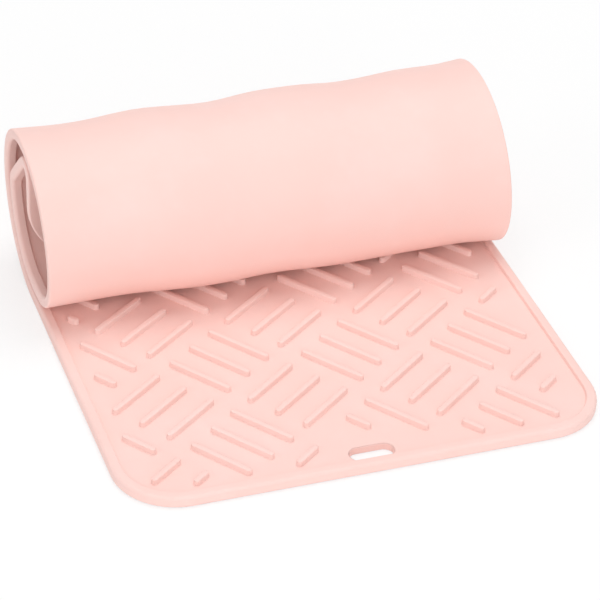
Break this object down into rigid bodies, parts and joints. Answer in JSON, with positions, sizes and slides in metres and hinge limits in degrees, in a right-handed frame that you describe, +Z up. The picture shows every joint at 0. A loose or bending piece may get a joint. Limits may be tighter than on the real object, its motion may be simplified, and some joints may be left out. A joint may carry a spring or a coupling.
{
  "type": "rolled silicone heat mat",
  "caption": "Long rounded silicone mat with a rim, basket-weave ribs and a hanging slot, its rear part wound into a roll that unrolls flat.",
  "frame": {"origin": "on the surface the mat lies on, under the middle of the mat as it lies partly rolled", "axes": "+X across the mat, +Y from the front edge with the slot towards the roll, +Z up"},
  "size_m": [0.165, 0.1596, 0.058],
  "materials": {
    "silicone": "matt pale pink silicone, one colour all through"
  },
  "bodies": {
    "front_panel": {"front_panel": "silicone"},
    "roll_strip_01": {"roll_strip_01": "silicone"},
    "roll_strip_02": {"roll_strip_02": "silicone"},
    "roll_strip_03": {"roll_strip_03": "silicone"},
    "roll_strip_04": {"roll_strip_04": "silicone"},
    "roll_strip_05": {"roll_strip_05": "silicone"},
    "roll_strip_06": {"roll_strip_06": "silicone"},
    "roll_strip_07": {"roll_strip_07": "silicone"},
    "roll_strip_08": {"roll_strip_08": "silicone"},
    "roll_strip_09": {"roll_strip_09": "silicone"},
    "roll_strip_10": {"roll_strip_10": "silicone"},
    "roll_strip_11": {"roll_strip_11": "silicone"},
    "roll_strip_12": {"roll_strip_12": "silicone"},
    "roll_strip_13": {"roll_strip_13": "silicone"},
    "roll_strip_14": {"roll_strip_14": "silicone"},
    "roll_strip_15": {"roll_strip_15": "silicone"},
    "roll_strip_16": {"roll_strip_16": "silicone"},
    "roll_strip_17": {"roll_strip_17": "silicone"},
    "roll_strip_18": {"roll_strip_18": "silicone"},
    "roll_strip_19": {"roll_strip_19": "silicone"},
    "roll_strip_20": {"roll_strip_20": "silicone"},
    "roll_strip_21": {"roll_strip_21": "silicone"},
    "roll_strip_22": {"roll_strip_22": "silicone"},
    "roll_strip_23": {"roll_strip_23": "silicone"},
    "roll_strip_24": {"roll_strip_24": "silicone"},
    "roll_strip_25": {"roll_strip_25": "silicone"},
    "roll_strip_26": {"roll_strip_26": "silicone"},
    "roll_strip_27": {"roll_strip_27": "silicone"},
    "end_panel": {"end_panel": "silicone"}
  },
  "joints": [
    {"name": "unroll_01", "type": "hinge", "parent": "front_panel", "child": "roll_strip_01", "pos_m": [0, 0.05039, 0], "axis": [-1, 0, 0], "range_deg": [0, 22.5]},
    {"name": "unroll_02", "type": "hinge", "parent": "roll_strip_01", "child": "roll_strip_02", "pos_m": [0, 0.06409, 0.00568], "axis": [-1, 0, 0], "range_deg": [0, 22.5]},
    {"name": "unroll_03", "type": "hinge", "parent": "roll_strip_02", "child": "roll_strip_03", "pos_m": [0, 0.07472, 0.0163], "axis": [-1, 0, 0], "range_deg": [0, 22.5]},
    {"name": "unroll_04", "type": "hinge", "parent": "roll_strip_03", "child": "roll_strip_04", "pos_m": [0, 0.07981, 0.0286], "axis": [-1, 0, 0], "range_deg": [0, 22.5]},
    {"name": "unroll_05", "type": "hinge", "parent": "roll_strip_04", "child": "roll_strip_05", "pos_m": [0, 0.07981, 0.03934], "axis": [-1, 0, 0], "range_deg": [0, 22.5]},
    {"name": "unroll_06", "type": "hinge", "parent": "roll_strip_05", "child": "roll_strip_06", "pos_m": [0, 0.07641, 0.04754], "axis": [-1, 0, 0], "range_deg": [0, 22.5]},
    {"name": "unroll_07", "type": "hinge", "parent": "roll_strip_06", "child": "roll_strip_07", "pos_m": [0, 0.07013, 0.05382], "axis": [-1, 0, 0], "range_deg": [0, 22.5]},
    {"name": "unroll_08", "type": "hinge", "parent": "roll_strip_07", "child": "roll_strip_08", "pos_m": [0, 0.06013, 0.05797], "axis": [-1, 0, 0], "range_deg": [0, 22.5]},
    {"name": "unroll_09", "type": "hinge", "parent": "roll_strip_08", "child": "roll_strip_09", "pos_m": [0, 0.04656, 0.05797], "axis": [-1, 0, 0], "range_deg": [0, 22.5]},
    {"name": "unroll_10", "type": "hinge", "parent": "roll_strip_09", "child": "roll_strip_10", "pos_m": [0, 0.03225, 0.05204], "axis": [-1, 0, 0], "range_deg": [0, 22.5]},
    {"name": "unroll_11", "type": "hinge", "parent": "roll_strip_10", "child": "roll_strip_11", "pos_m": [0, 0.0214, 0.04119], "axis": [-1, 0, 0], "range_deg": [0, 22.5]},
    {"name": "unroll_12", "type": "hinge", "parent": "roll_strip_11", "child": "roll_strip_12", "pos_m": [0, 0.01639, 0.02909], "axis": [-1, 0, 0], "range_deg": [0, 22.5]},
    {"name": "unroll_13", "type": "hinge", "parent": "roll_strip_12", "child": "roll_strip_13", "pos_m": [0, 0.01639, 0.01928], "axis": [-1, 0, 0], "range_deg": [0, 22.5]},
    {"name": "unroll_14", "type": "hinge", "parent": "roll_strip_13", "child": "roll_strip_14", "pos_m": [0, 0.01913, 0.01266], "axis": [-1, 0, 0], "range_deg": [0, 22.5]},
    {"name": "unroll_15", "type": "hinge", "parent": "roll_strip_14", "child": "roll_strip_15", "pos_m": [0, 0.02366, 0.00813], "axis": [-1, 0, 0], "range_deg": [0, 22.5]},
    {"name": "unroll_16", "type": "hinge", "parent": "roll_strip_15", "child": "roll_strip_16", "pos_m": [0, 0.03078, 0.00518], "axis": [-1, 0, 0], "range_deg": [0, 22.5]},
    {"name": "unroll_17", "type": "hinge", "parent": "roll_strip_16", "child": "roll_strip_17", "pos_m": [0, 0.04828, 0.00518], "axis": [-1, 0, 0], "range_deg": [0, 22.5]},
    {"name": "unroll_18", "type": "hinge", "parent": "roll_strip_17", "child": "roll_strip_18", "pos_m": [0, 0.05929, 0.00974], "axis": [-1, 0, 0], "range_deg": [0, 22.5]},
    {"name": "unroll_19", "type": "hinge", "parent": "roll_strip_18", "child": "roll_strip_19", "pos_m": [0, 0.06785, 0.0183], "axis": [-1, 0, 0], "range_deg": [0, 22.5]},
    {"name": "unroll_20", "type": "hinge", "parent": "roll_strip_19", "child": "roll_strip_20", "pos_m": [0, 0.07186, 0.02798], "axis": [-1, 0, 0], "range_deg": [0, 22.5]},
    {"name": "unroll_21", "type": "hinge", "parent": "roll_strip_20", "child": "roll_strip_21", "pos_m": [0, 0.07186, 0.03318], "axis": [-1, 0, 0], "range_deg": [0, 22.5]},
    {"name": "unroll_22", "type": "hinge", "parent": "roll_strip_21", "child": "roll_strip_22", "pos_m": [0, 0.07063, 0.03614], "axis": [-1, 0, 0], "range_deg": [0, 22.5]},
    {"name": "unroll_23", "type": "hinge", "parent": "roll_strip_22", "child": "roll_strip_23", "pos_m": [0, 0.05529, 0.05148], "axis": [-1, 0, 0], "range_deg": [0, 22.5]},
    {"name": "unroll_24", "type": "hinge", "parent": "roll_strip_23", "child": "roll_strip_24", "pos_m": [0, 0.05239, 0.05269], "axis": [-1, 0, 0], "range_deg": [0, 22.5]},
    {"name": "unroll_25", "type": "hinge", "parent": "roll_strip_24", "child": "roll_strip_25", "pos_m": [0, 0.04924, 0.05269], "axis": [-1, 0, 0], "range_deg": [0, 22.5]},
    {"name": "unroll_26", "type": "hinge", "parent": "roll_strip_25", "child": "roll_strip_26", "pos_m": [0, 0.04634, 0.05148], "axis": [-1, 0, 0], "range_deg": [0, 22.5]},
    {"name": "unroll_27", "type": "hinge", "parent": "roll_strip_26", "child": "roll_strip_27", "pos_m": [0, 0.04412, 0.04926], "axis": [-1, 0, 0], "range_deg": [0, 22.5]},
    {"name": "unroll_28", "type": "hinge", "parent": "roll_strip_27", "child": "end_panel", "pos_m": [0, 0.04292, 0.04636], "axis": [-1, 0, 0], "range_deg": [0, 22.5]}
  ],
  "couplings": [
    {"joint": "unroll_02", "follows": "unroll_01", "ratio": 1},
    {"joint": "unroll_03", "follows": "unroll_01", "ratio": 1},
    {"joint": "unroll_04", "follows": "unroll_01", "ratio": 1},
    {"joint": "unroll_05", "follows": "unroll_01", "ratio": 1},
    {"joint": "unroll_06", "follows": "unroll_01", "ratio": 1},
    {"joint": "unroll_07", "follows": "unroll_01", "ratio": 1},
    {"joint": "unroll_08", "follows": "unroll_01", "ratio": 1},
    {"joint": "unroll_09", "follows": "unroll_01", "ratio": 1},
    {"joint": "unroll_10", "follows": "unroll_01", "ratio": 1},
    {"joint": "unroll_11", "follows": "unroll_01", "ratio": 1},
    {"joint": "unroll_12", "follows": "unroll_01", "ratio": 1},
    {"joint": "unroll_13", "follows": "unroll_01", "ratio": 1},
    {"joint": "unroll_14", "follows": "unroll_01", "ratio": 1},
    {"joint": "unroll_15", "follows": "unroll_01", "ratio": 1},
    {"joint": "unroll_16", "follows": "unroll_01", "ratio": 1},
    {"joint": "unroll_17", "follows": "unroll_01", "ratio": 1},
    {"joint": "unroll_18", "follows": "unroll_01", "ratio": 1},
    {"joint": "unroll_19", "follows": "unroll_01", "ratio": 1},
    {"joint": "unroll_20", "follows": "unroll_01", "ratio": 1},
    {"joint": "unroll_21", "follows": "unroll_01", "ratio": 1},
    {"joint": "unroll_22", "follows": "unroll_01", "ratio": 1},
    {"joint": "unroll_23", "follows": "unroll_01", "ratio": 1},
    {"joint": "unroll_24", "follows": "unroll_01", "ratio": 1},
    {"joint": "unroll_25", "follows": "unroll_01", "ratio": 1},
    {"joint": "unroll_26", "follows": "unroll_01", "ratio": 1},
    {"joint": "unroll_27", "follows": "unroll_01", "ratio": 1},
    {"joint": "unroll_28", "follows": "unroll_01", "ratio": 1}
  ]
}
